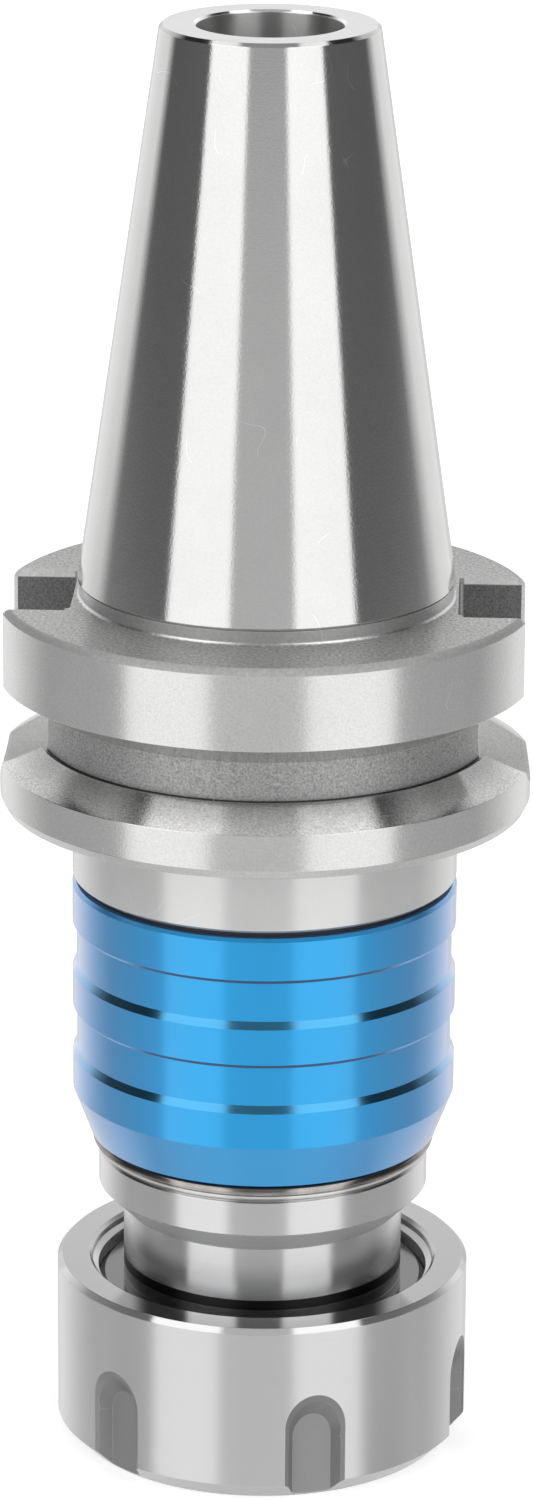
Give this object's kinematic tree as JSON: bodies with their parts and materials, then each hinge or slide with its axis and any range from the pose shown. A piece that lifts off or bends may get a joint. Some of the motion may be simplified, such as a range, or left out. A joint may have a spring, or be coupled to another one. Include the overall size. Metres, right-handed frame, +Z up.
{
  "type": "floating tapping holder",
  "caption": "Machine taper tool holder with a gripper flange, a blue cover sleeve and a sprung, axially floating spindle that ends in a slotted collet nut.",
  "frame": {"origin": "centre of the taper's gauge plane, on the axis", "axes": "+Z runs up the axis to the taper's small end, the spindle floats along -Z, and the drive slots lie on +X and -X"},
  "size_m": [0.063, 0.063, 0.1734],
  "materials": {
    "ground_steel": "ground taper, satin turned flange and nose",
    "satin_steel": "satin, fine turned",
    "nut_steel": "satin, finely ground",
    "blue_anodised": "satin blue anodised",
    "black_rubber": "matt",
    "tempered_wire": "smooth, straw-brown tempered",
    "ball_steel": "polished",
    "plain_steel": "satin",
    "spring_steel": "smooth drawn wire",
    "black_steel": "black oxide"
  },
  "bodies": {
    "holder": {"taper_shank": "ground_steel", "cover_sleeve": "blue_anodised", "sleeve_seal": "black_rubber", "sleeve_retaining_wire": "tempered_wire", "drive_ball_1": "ball_steel", "drive_ball_2": "ball_steel", "drive_ball_3": "ball_steel", "drive_ball_4": "ball_steel", "drive_ball_5": "ball_steel", "drive_ball_6": "ball_steel", "drive_ball_7": "ball_steel", "drive_ball_8": "ball_steel", "drive_ball_9": "ball_steel", "spring_seat_washer": "plain_steel", "seat_clip": "black_steel", "return_spring": "spring_steel"},
    "spindle": {"float_spindle": "satin_steel", "tie_bolt": "black_steel", "spring_top_washer": "plain_steel", "spindle_seal": "black_rubber"},
    "closing_ring": {"closing_ring": "plain_steel"},
    "nut": {"collet_nut": "nut_steel", "ring_keeper": "black_steel"}
  },
  "joints": [
    {"name": "float_travel", "type": "slide", "parent": "holder", "child": "spindle", "axis": [0, 0, -1], "range_m": [0, 0.01], "stiffness_N_per_m": 5000, "springref_m": -0.01, "deforming": ["return_spring"]},
    {"name": "nut_travel", "type": "slide", "parent": "spindle", "child": "closing_ring", "axis": [0, 0, -1], "range_m": [0, 0.003]},
    {"name": "nut_turn", "type": "hinge", "parent": "closing_ring", "child": "nut", "pos_m": [0, 0, -0.1], "axis": [0, 0, -1], "range_deg": [0, 720]}
  ],
  "couplings": [
    {"joint": "nut_travel", "follows": "nut_turn", "m_per_rad": 0.00023873}
  ]
}
